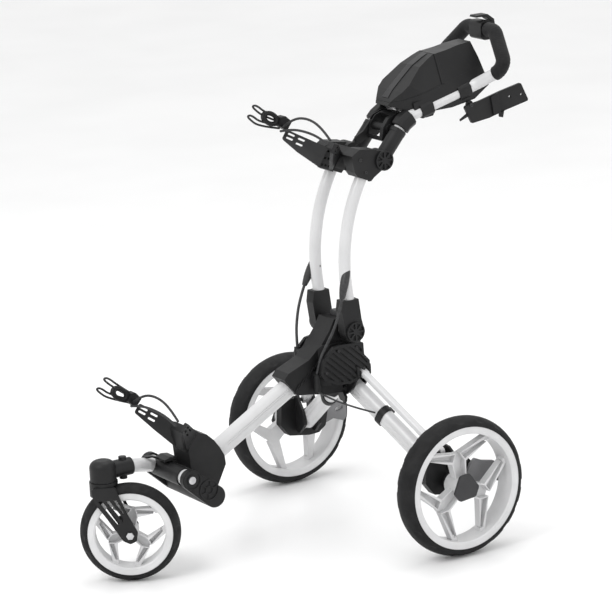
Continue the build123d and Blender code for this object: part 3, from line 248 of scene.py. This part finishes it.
WHITE = painted_tube()
TYRE = tyre_rubber()
FOAM = foam_rubber()
CASING = cable_casing()
ELASTIC = elastic_cord()
STEEL = plated_steel()
BLACK = moulded_plastic("black_nylon", (0.0055, 0.006), (0.0095, 0.010), 0.42, 0.58)
HOUSING = moulded_plastic("housing_black", (0.0055, 0.006), (0.009, 0.0095), 0.34, 0.46, 2200)
GREY = moulded_plastic("grey_nylon", (0.17, 0.175), (0.22, 0.225), 0.42, 0.56)
CHARCOAL = moulded_plastic("charcoal_nylon", (0.030, 0.032), (0.042, 0.044), 0.4, 0.55)
# satin material of the lid's ridge strip; its base colour, lighter than the housing's, is a painted
# highlight
SATIN_PAINTED_HIGHLIGHT = moulded_plastic("satin_black_painted_highlight", (0.018, 0.019), (0.026, 0.027), 0.30, 0.40, 2600)
DARK_STEEL = moulded_plastic("blackened_steel", (0.020, 0.021), (0.034, 0.035), 0.30, 0.42, 900)
RIM_WHITE = moulded_plastic("rim_white", (0.60, 0.605), (0.68, 0.685), 0.36, 0.48, 1600)

FINISH = {
    "white_metal": WHITE,
    "black_plastic": BLACK,
    "grey_plastic": GREY,
    "dark_grey_plastic": CHARCOAL,
    "white_plastic": RIM_WHITE,
    "tyre": TYRE,
    "rubber": CASING,
    "steel": STEEL,
}


HOUSING_NODES = ("console_base", "console_lid", "console_hood", "brake_housing")


def paint_nodes():
    """Each CAD node gets the detailed material of its slot; the console and brake housing are glossier."""
    slots = {part["node"]: part["material_slot"] for part in frame["record"]["subparts"]}
    for name, node in frame["nodes"].items():
        material = HOUSING if name in HOUSING_NODES else FINISH[slots[name]]
        node.data.materials.clear()
        node.data.materials.append(material)


paint_nodes()


# ---------------------------------------------------------------- helpers for new pieces
def new_piece(name, mesh_or_curve, material, body):
    piece = bpy.data.objects.new(name, mesh_or_curve)
    bpy.context.scene.collection.objects.link(piece)
    mesh_or_curve.materials.clear()
    mesh_or_curve.materials.append(material)
    if body:
        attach(piece, body)
    return piece


def cord_curve(name, points, radius):
    """One smooth spline through a few control points, with a round section."""
    curve = bpy.data.curves.new(name, "CURVE")
    curve.dimensions = "3D"
    curve.bevel_depth = radius
    curve.bevel_resolution = 6
    curve.use_fill_caps = True
    spline = curve.splines.new("NURBS")
    spline.points.add(len(points) - 1)
    for point, place in zip(spline.points, points):
        point.co = (*place, 1)
    spline.order_u = 3
    spline.use_endpoint_u = True
    spline.resolution_u = 16
    return curve


def finish_mesh(bm, name, smooth=True):
    """The bmesh as a mesh with its normals outward."""
    bmesh.ops.recalc_face_normals(bm, faces=bm.faces)
    mesh = bpy.data.meshes.new(name)
    bm.to_mesh(mesh)
    bm.free()
    for polygon in mesh.polygons:
        polygon.use_smooth = smooth
    return mesh


def full_turn(count):
    """Evenly spaced angles round a circle."""
    return [2 * math.pi * k / count for k in range(count)]


def circle(bm, centre, first, second, radius, count):
    """A ring of new vertices in the plane of two directions."""
    return [
        bm.verts.new(centre + (first * math.cos(a) + second * math.sin(a)) * radius)
        for a in full_turn(count)
    ]


def skin(bm, rings, looped=False):
    """Faces between neighbouring rings; the ends are capped unless the last ring meets the first."""
    following = rings[1:] + (rings[:1] if looped else [])
    for one, two in zip(rings, following):
        count = len(one)
        for k in range(count):
            j = (k + 1) % count
            bm.faces.new((one[k], one[j], two[j], two[k]))
    if not looped:
        bm.faces.new(rings[0])
        bm.faces.new(rings[-1])


# ---------------------------------------------------------------- cables
LEFT_CABLE = [
    side_point(70, -98, 506),
    side_point(69.5, -105, 479),
    side_point(60, -114.5, 441),
    side_point(51, -130, 408),
    side_point(46, -144, 380),
    side_point(42, -150, 350),
]
RIGHT_CABLE = [
    side_point(-70, -101, 510),
    side_point(-68, -116, 480),
    side_point(-61, -129, 444),
    side_point(-52, -137.6, 416),
    side_point(-45, -141, 390),
]
WHEEL_CABLE = [
    side_point(38, -146, 309.5),
    side_point(55, -124, 293),
    side_point(73, -98, 280),
    side_point(90, -75, 270),
    side_point(106, -52, 261.5),
]
BRAKE_CABLE_R = 0.003
WHEEL_CABLE_R = 0.002


def cord_mesh(name, points, radius):
    """The cord's spline turned into a mesh."""
    holder = bpy.data.objects.new(name, cord_curve(name, points, radius))
    bpy.context.scene.collection.objects.link(holder)
    bpy.context.view_layer.update()
    evaluated = holder.evaluated_get(bpy.context.evaluated_depsgraph_get())
    mesh = bpy.data.meshes.new_from_object(evaluated)
    bpy.data.objects.remove(holder)
    return mesh


def bent_cord(name, route, radius, node):
    """A cable laid from one body to another as one fixed mesh, attached to no body."""
    piece = new_piece(name, cord_mesh(name, route, radius), CASING, None)
    path = [tuple(vertex.co) for vertex in cord_mesh(name + "_line", route, 0).vertices]
    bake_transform(piece)
    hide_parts(node)


def make_cables():
    """Brake cables where the frame folds, and the thin ones where the legs fold, each as one fixed mesh.
    """
    bent_cord("brake_cable_left", LEFT_CABLE, BRAKE_CABLE_R, "brake_cables")
    bent_cord("brake_cable_right", RIGHT_CABLE, BRAKE_CABLE_R, "brake_cables")
    for hand, sign in HANDS:
        route = [Vector((sign * place.x, place.y, place.z)) for place in WHEEL_CABLE]
        bent_cord(f"wheel_cable_{hand}", route, WHEEL_CABLE_R, "wheel_cables")


make_cables()


# ---------------------------------------------------------------- elastic straps
STRAP_R = 0.0026
EAR_R = 0.0022
CRADLES = (  # level, body, the straps' y and z, then the tips of the high and low ears from there
    ("upper", "upper_frame", (-121, 846), (-57, 51), (-70, 32)),
    ("lower", "frame", (-513, 331), (-53, 57), (-71, 39)),
)
STRAP_POINTS = (  # x, the second cord's step forward, share of the arch's rise, extra height
    (93, 6, 0, 0),
    (62, 6, 0.75, 0),
    (10, 8, 1.15, 0),
    (-48, 6, 0.85, 0),
    (-89, 6, 0, 2),
)
EAR_TURN = (  # x, and y and z counted from the tip
    (-103, 20, -23),
    (-106, 1, -6),
    (-106, -4, 2),
    (-105, 6, 2),
    (-103, 25, -16),
)


def make_strap(level, body, y, z, step):
    """One of the two cords that arch across a cradle; the second is lower and flatter."""
    low = 8 * step
    rise = 30 - 16 * step
    route = [
        side_point(x, y - forward * step, z - low + rise * share + extra)
        for x, forward, share, extra in STRAP_POINTS
    ]
    curve = cord_curve("strap", route, STRAP_R)
    cord = new_piece(f"{level}_strap_{step}", curve, ELASTIC, body)
    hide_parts(f"{level}_bungee")


def make_ear(level, name, body, y, z, tip, back):
    """A hairpin of cord in front of the hook's ring."""
    tip_y, tip_z = y + tip[0], z + tip[1]
    turn = [side_point(x, tip_y + dy, tip_z + dz) for x, dy, dz in EAR_TURN]
    route = [side_point(-100, y - 2, z + back), *turn, side_point(-100, y + 2, z + back + 5)]
    ear = new_piece(f"{level}_{name}_ear", cord_curve("ear", route, EAR_R), ELASTIC, body)
    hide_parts(f"{level}_bungee")


def make_straps():
    """Two elastic cords over each cradle, and two hairpin ears at its hook."""
    for level, body, (y, z), high_tip, low_tip in CRADLES:
        for step in (0, 1):
            make_strap(level, body, y, z, step)
        make_ear(level, "high", body, y, z, high_tip, 12)
        make_ear(level, "low", body, y, z, low_tip, -2)


make_straps()


# ---------------------------------------------------------------- tyres and grips
NOTCH_DEPTH = 0.0026
BLOCK_STEPS = 12  # steps round the tyre from one notch to the next
NOTCH_STEPS = 4
CROWN_STEPS = 10
CROWN_DROP = 0.0052


def ring_surface(name, centre, axis, profile, steps, depth_at):
    """Turns a closed (radius, width) profile round an axis; depth_at lowers the radius in places."""
    first = Vector((0, 0, 1))
    second = axis.cross(first)
    bm = bmesh.new()
    rings = []
    for step, angle in enumerate(full_turn(steps)):
        radial = first * math.cos(angle) + second * math.sin(angle)
        rings.append([
            bm.verts.new(centre + radial * (radius - depth_at(step, radius, width)) + axis * width)
            for radius, width in profile
        ])
    skin(bm, rings, looped=True)
    return finish_mesh(bm, name)


def tyre_profile(r_out, r_rim, half):
    """Bead, flank, rounded shoulder and crown, as (radius, width) from one side to the other."""
    flank = [
        (r_rim - 0.0095, 0.0054 - half),
        (r_rim, 0.0054 - half),
        (r_rim, 0.0003 - half),
        (r_rim + 0.002, -half),
        (r_out - 0.0105, 0.0018 - half),
        (r_out - 0.0070, 0.0045 - half),
        (r_out - 0.0050, 0.0075 - half),
    ]
    shoulder = half - 0.007
    reach = shoulder * 0.93
    widths = [-reach + 2 * reach * i / CROWN_STEPS for i in range(CROWN_STEPS + 1)]
    crown = [(r_out - CROWN_DROP * (width / shoulder) ** 2, width) for width in widths]
    return flank + crown + [(radius, -width) for radius, width in reversed(flank)]


def make_tyre(name, body, centre, axis, r_out, r_rim, half, notches):
    """A foam tyre with notches round both shoulders."""

    def notch(step, radius, width):
        in_notch = step % BLOCK_STEPS < NOTCH_STEPS
        on_shoulder = abs(width) > half - 0.0115 and radius > r_out - 0.0075
        return NOTCH_DEPTH if in_notch and on_shoulder else 0.0

    profile = tyre_profile(r_out, r_rim, half)
    mesh = ring_surface(name, centre, axis, profile, notches * BLOCK_STEPS, notch)
    piece = new_piece(name, mesh, TYRE, body)
    piece.modifiers.new("edge", "EDGE_SPLIT").split_angle = math.radians(40)
    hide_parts(name.replace("_tread", ""))


def make_tyres():
    for hand, sign in HANDS:
        centre = Vector((sign * REAR_X, AXLE_Y, REAR_R))
        axis = Vector((sign, 0, 0))
        make_tyre(f"tyre_{hand}_tread", f"wheel_{hand}", centre, axis, REAR_R, 0.128, 0.027, 18)
    axis = Vector((math.cos(STEER), math.sin(STEER), 0))
    trail = Vector((-math.sin(STEER), math.cos(STEER), 0)) * TRAIL
    centre = side_point(0, SWIVEL_Y, 0) + trail + Vector((0, 0, FRONT_R))
    make_tyre("tyre_front_tread", "front_wheel", centre, axis, FRONT_R, 0.0865, 0.023, 16)


make_tyres()


ARC_STEPS = 12
PATH_STEP = 0.0015  # distance between the rings of a grip
GRIP_R = 0.0154
GRIP_BEND_R = 0.024
GROOVE = 0.0005
END_ROUNDING = 0.0018
GRIP_SIDES = 40


def rounded_path(corners, radius):
    """Points along straight runs joined by arcs of one radius, evenly spaced."""
    points = [corners[0]]
    for before, corner, after in zip(corners, corners[1:], corners[2:]):
        arrive = (corner - before).normalized()
        leave = (after - corner).normalized()
        turn = arrive.angle(leave)
        reach = radius * math.tan(turn / 2)
        normal = (leave - arrive * arrive.dot(leave)).normalized()
        centre = corner - arrive * reach + normal * radius
        for i in range(ARC_STEPS + 1):
            angle = turn * i / ARC_STEPS
            out = arrive * radius * math.sin(angle) - normal * radius * math.cos(angle)
            points.append(centre + out)
    points.append(corners[-1])
    even = []
    for here, there in zip(points, points[1:]):
        count = max(1, round((there - here).length / PATH_STEP))
        even += [here.lerp(there, i / count) for i in range(count)]
    return even + [points[-1]]


def grip_rings(bm, path):
    """Circles along the path: every third one is a groove, and the first and last two round the ends."""
    rings = []
    last = len(path) - 1
    for i, place in enumerate(path):
        along = (path[min(i + 1, last)] - path[max(i - 1, 0)]).normalized()
        across = along.cross(Vector((0, 1, 0))).normalized()
        from_end = min(i, last - i)
        groove = GROOVE if i % 3 == 0 else 0.0
        radius = GRIP_R - groove - END_ROUNDING * max(0, 1 - from_end / 2) ** 2
        rings.append(circle(bm, place, across, along.cross(across), radius, GRIP_SIDES))
    return rings


def make_grips():
    """Foam grips with fine rings moulded round them and rounded ends."""
    for hand, sign in HANDS:
        bend = Vector((sign * 0.119, AXLE_Y + 0.300, 0.940))
        rail_end = Vector((sign * 0.048, AXLE_Y + 0.263, 0.8972))
        corners = [
            bend + (rail_end - bend).normalized() * 0.030,
            bend,
            Vector((sign * 0.050, AXLE_Y + 0.324, 1.006)),
            Vector((sign * 0.022, AXLE_Y + 0.324, 1.006)),
        ]
        bm = bmesh.new()
        skin(bm, grip_rings(bm, rounded_path(corners, GRIP_BEND_R)))
        piece = new_piece(f"grip_{hand}", finish_mesh(bm, f"grip_{hand}"), FOAM, "handle")
        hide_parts("grips")


make_grips()


# ---------------------------------------------------------------- small details
RIB_WIDTH = 0.0022
RIB_HEIGHT = 0.0020
RING_HEIGHT = 0.0022
RING_SIDES = 40


def slab(bm, outline, offset):
    """A closed solid between an outline and the same outline moved by the offset."""
    near = [bm.verts.new(place) for place in outline]
    far = [bm.verts.new(place + offset) for place in outline]
    bm.faces.new(near)
    bm.faces.new(list(reversed(far)))
    count = len(outline)
    for k in range(count):
        bm.faces.new((near[(k + 1) % count], near[k], far[k], far[(k + 1) % count]))


def side_slab(bm, x, outline, thickness):
    """A slab whose outline is given in y and z at one x; the thickness is in metres."""
    slab(bm, [side_point(x, y, z) for y, z in outline], Vector((thickness, 0, 0)))


def ring_slab(bm, centre, outer, inner, height):
    """A flat ring on a plane of constant x, as one closed solid."""
    sideways, upward = Vector((0, 1, 0)), Vector((0, 0, 1))
    raised = centre + Vector((height, 0, 0))
    rings = [
        circle(bm, place, sideways, upward, radius, RING_SIDES)
        for place, radius in ((centre, outer), (centre, inner), (raised, inner), (raised, outer))
    ]
    skin(bm, rings, looped=True)


def bar(bm, start, end, width, height):
    """A straight rib on a plane of constant x, standing out by the height."""
    along = (end - start).normalized()
    across = along.cross(Vector((1, 0, 0))) * width / 2
    slab(bm, [start - across, end - across, end + across, start + across], Vector((height, 0, 0)))


def detail(name, bm, material, body, slot_name, bevel=0.0006):
    """A small flat-shaded piece with its edges rounded."""
    piece = new_piece(name, finish_mesh(bm, name, False), material, body)
    rounding = piece.modifiers.new("edges", "BEVEL")
    rounding.width = bevel
    rounding.segments = 2
    return piece


def make_block_ribs():
    """Ribs on the near cheek of the front block: rings and spokes at the boss, bars along the cheek."""
    boss = side_point(80, -444, 170)
    arm_pin = side_point(80, -482, 198)
    bm = bmesh.new()
    ring_slab(bm, boss, 0.0225, 0.0195, RING_HEIGHT)
    ring_slab(bm, boss, 0.0095, 0.0070, RING_HEIGHT)
    for k in range(6):
        angle = math.radians(60 * k + 20)
        reach = Vector((0, math.cos(angle), math.sin(angle)))
        bar(bm, boss + reach * 0.0090, boss + reach * 0.0200, RIB_WIDTH, RIB_HEIGHT)
    along = (arm_pin - boss).normalized()
    across = Vector((0, -along.z, along.y))
    for shift in (-0.0185, 0.0, 0.0185):
        foot = boss + across * shift
        bar(bm, foot + along * 0.0215, foot + along * 0.036, RIB_WIDTH, RIB_HEIGHT)
    ring_slab(bm, arm_pin, 0.0205, 0.0180, RING_HEIGHT)
    ring_slab(bm, arm_pin, 0.0118, 0.0092, RING_HEIGHT)
    detail("block_ribs", bm, BLACK, "frame", "black_plastic")


def make_tube_ribs():
    """Low ribs on both flanks of the hub's sleeve."""
    bm = bmesh.new()
    for side in (1, -1):
        for k in range(5):
            start = side_point(27.2 * side, -136 - 12 * k, 372 - 10 * k)
            end = side_point(26.4 * side, -150 - 12 * k, 352 - 10 * k)
            bar(bm, start, end, 0.0024, 0.0016 * side)
    detail("sleeve_ribs", bm, BLACK, "frame", "black_plastic", 0.0004)


FOLD_AXIS = (-69.5, 431.5)  # y and z of the frame fold's pin


def make_bushes():
    """Grey bushes of the frame fold, seen between the hub and each socket."""
    bm = bmesh.new()
    for x in (31, -41.5):
        ring_slab(bm, side_point(x, *FOLD_AXIS), 0.0162, 0.0142, 0.0105)
    detail("fold_bushes", bm, GREY, "frame", "grey_plastic")


HOOD_RIM = (  # x and z of the rim's section, outer edge and then inner edge
    (-54.6, 914.5), (-28.4, 974.3), (28.4, 974.3), (54.6, 914.5),
    (52.4, 914.5), (26.8, 972.4), (-26.8, 972.4), (-52.4, 914.5),
)
LID_RIDGE = (  # y, z and half width of the strip
    (75, 894, 12), (89, 909, 9.5), (115, 932, 9.5), (141, 954, 9.5), (167, 968, 9.5), (180, 973.6, 9.5),
)
STRIP_HEIGHT = 0.9


def make_hood_rim():
    """Raised rim where the fixed hood meets the lid."""
    bm = bmesh.new()
    slab(bm, [side_point(x, 183, z) for x, z in HOOD_RIM], Vector((0, 0.007, 0)))
    detail("hood_rim", bm, HOUSING, "handle", "black_plastic", 0.0005)


def make_lid_strip():
    """Strip along the lid's ridge, with sloping edges: satin, and lighter in colour than the lid as a
    painted highlight.
    """
    bm = bmesh.new()
    rows = []
    for y, z, half in LID_RIDGE:
        section = ((-half, 0), (1 - half, STRIP_HEIGHT), (half - 1, STRIP_HEIGHT), (half, 0))
        rows.append([bm.verts.new(side_point(x, y, z + lift)) for x, lift in section])
    skin(bm, rows)
    detail("lid_strip", bm, SATIN_PAINTED_HIGHLIGHT, "console_lid", "black_plastic", 0.0003)


def rail_cover(name, points, half, cut):
    """A black shell with chamfered corners round one rail, along a few points of the rail."""
    section = [
        (half, cut), (cut, half), (-cut, half), (-half, cut),
        (-half, -cut), (-cut, -half), (cut, -half), (half, -cut),
    ]
    bm = bmesh.new()
    rings = []
    last = len(points) - 1
    for k, place in enumerate(points):
        along = (points[min(k + 1, last)] - points[max(k - 1, 0)]).normalized()
        lift = Vector((1, 0, 0)).cross(along).normalized()
        rings.append([
            bm.verts.new(place + Vector((u / 1000, 0, 0)) + lift * (v / 1000))
            for u, v in section
        ])
    skin(bm, rings)
    detail(name, bm, BLACK, "handle", "black_plastic", 0.0015)


RAIL_X = 48
RAIL_COVERS = (  # name, y and z along the rail, half width, half length of a flat
    ("rail_clamp", ((77, 836), (86, 845.6), (103, 856)), 18.5, 9),
    ("rail_saddle", ((126, 863.3), (156, 870.7)), 15.2, 9),
    ("rail_lug", ((222, 887), (252, 894.5)), 15.2, 9),
)


def make_rail_covers():
    """Clamps just above the sleeves, and the two saddles that hold the console on each rail."""
    for hand, sign in HANDS:
        for name, line, half, cut in RAIL_COVERS:
            points = [side_point(sign * RAIL_X, y, z) for y, z in line]
            rail_cover(f"{name}_{hand}", points, half, cut)


def make_plate_details():
    """Clamp block, foot and peg on the accessory plate."""
    bm = bmesh.new()
    side_slab(bm, 66.5, ((300, 832), (318, 836), (312, 878), (294, 872)), 0.004)
    side_slab(bm, 60.5, ((318, 838), (330, 841), (326, 824), (318, 826)), 0.006)
    side_slab(bm, 62, ((236, 846), (242, 848), (240, 839), (218, 831), (217, 835)), 0.003)
    detail("plate_clamp", bm, BLACK, "handle", "black_plastic")


RING_LONG, RING_SHORT, RING_THICK = 0.0165, 0.0100, 0.0050
RING_SPREAD = 1.15  # the section's width along the axis, over its thickness
RING_STEPS = 48
SECTION_SIDES = 14
HOOKS = (  # level, body, the hook's y and z, its lean from level in radians
    ("upper", "upper_frame", (-116, 855), 0.55),
    ("lower", "frame", (-511, 337), 0.65),
)


def round_ring(bm, centre, first, second, axis):
    """An oval ring of round section."""
    rings = []
    for a in full_turn(RING_STEPS):
        outward = first * math.cos(a) / RING_LONG + second * math.sin(a) / RING_SHORT
        outward.normalize()
        middle = centre + first * RING_LONG * math.cos(a) + second * RING_SHORT * math.sin(a)
        rings.append(circle(bm, middle, outward, axis * RING_SPREAD, RING_THICK, SECTION_SIDES))
    skin(bm, rings, looped=True)


def make_hook_rings():
    """The strap hooks' finger rings, thick and round, over their plain CAD ones."""
    for level, body, (y, z), lean in HOOKS:
        along = Vector((0, -math.cos(lean), math.sin(lean)))
        across = Vector((0, -math.sin(lean), -math.cos(lean)))
        centre = side_point(-98, y, z) + along * 0.0315 + across * 0.004
        bm = bmesh.new()
        round_ring(bm, centre, along, across, Vector((1, 0, 0)))
        new_piece(f"{level}_hook_ring", finish_mesh(bm, "ring"), BLACK, body)


SCREW_PROFILE = ((1.0, -0.4), (1.0, 0.25), (0.86, 0.45), (0.55, 0.55), (0.42, 0.52), (0.40, 0.1))
SCREW_SIDES = 24
SCREWS = (  # body, place, facing, radius in millimetres
    ("upper_frame", (-45.9, -76.3, 552), (0.853, -0.522, 0), 3.0),
    ("frame", (58, -104, 394), (1, 0, 0), 3.2),
    ("frame", (58, -60, 394), (1, 0, 0), 3.2),
    ("frame", (58, -44, 346), (1, 0, 0), 3.2),
    ("frame", (58, -136, 352), (1, 0, 0), 3.2),
    ("upper_frame", (75, -40, 790), (1, 0, 0), 3.6),
    ("upper_frame", (75, -28, 762), (1, 0, 0), 3.6),
    ("handle", (57, 146, 862), (1, 0, 0), 4.0),
    ("handle", (66.5, 246, 862), (1, 0, 0), 4.2),
)


def make_screws():
    """Pan-head screws with a round recess."""
    for number, (body, place, facing, radius) in enumerate(SCREWS):
        axis = Vector(facing).normalized()
        first = axis.orthogonal().normalized()
        second = axis.cross(first)
        centre = side_point(*place)
        size = radius / 1000
        bm = bmesh.new()
        rings = [
            circle(bm, centre + axis * height * size, first, second, width * size, SCREW_SIDES)
            for width, height in SCREW_PROFILE
        ]
        skin(bm, rings)
        new_piece(f"screw_{number}", finish_mesh(bm, "screw"), DARK_STEEL, body)


make_block_ribs()
make_tube_ribs()
make_bushes()
make_hood_rim()
make_lid_strip()
make_rail_covers()
make_plate_details()
make_hook_rings()
make_screws()


# ---------------------------------------------------------------- stage and light
WORLD_STRENGTH = 0.96
LIGHTS = (  # name, place, target, size, watts
    ("key", (0.6, -2.6, 3.0), (0, 0, 0.5), 1.6, 40),
    ("fill", (3.4, 1.4, 1.6), (0, 0, 0.5), 1.6, 10),
    ("top", (-0.4, 0.6, 3.6), (0, 0, 0.4), 2.2, 34),
)


def make_stage():
    """A white floor that is part of the picture only."""
    bm = bmesh.new()
    bmesh.ops.create_grid(bm, x_segments=1, y_segments=1, size=14)
    floor = bpy.data.objects.new("floor", finish_mesh(bm, "floor"))
    bpy.context.scene.collection.objects.link(floor)
    nodes = Nodes("floor_white")
    nodes.colour(nodes.noise(2, 2), (0.90, 0.90), (0.93, 0.93))
    nodes.set(Roughness=0.35, Specular_IOR_Level=0.3)
    floor.data.materials.append(nodes.material)


def add_light(name, place, target, size, power):
    data = bpy.data.lights.new(name, "AREA")
    data.energy = power
    data.size = size
    light = bpy.data.objects.new(name, data)
    light.location = place
    light.rotation_euler = (Vector(target) - Vector(place)).to_track_quat("-Z", "Y").to_euler()
    bpy.context.scene.collection.objects.link(light)


def make_light():
    world = bpy.data.worlds.new("studio")
    bpy.context.scene.world = world
    world.use_nodes = True
    background = world.node_tree.nodes["Background"]
    background.inputs["Color"].default_value = (1, 1, 1, 1)
    background.inputs["Strength"].default_value = WORLD_STRENGTH
    for light in LIGHTS:
        add_light(*light)


bpy.context.scene.view_settings.view_transform = "Standard"
make_stage()
make_light()
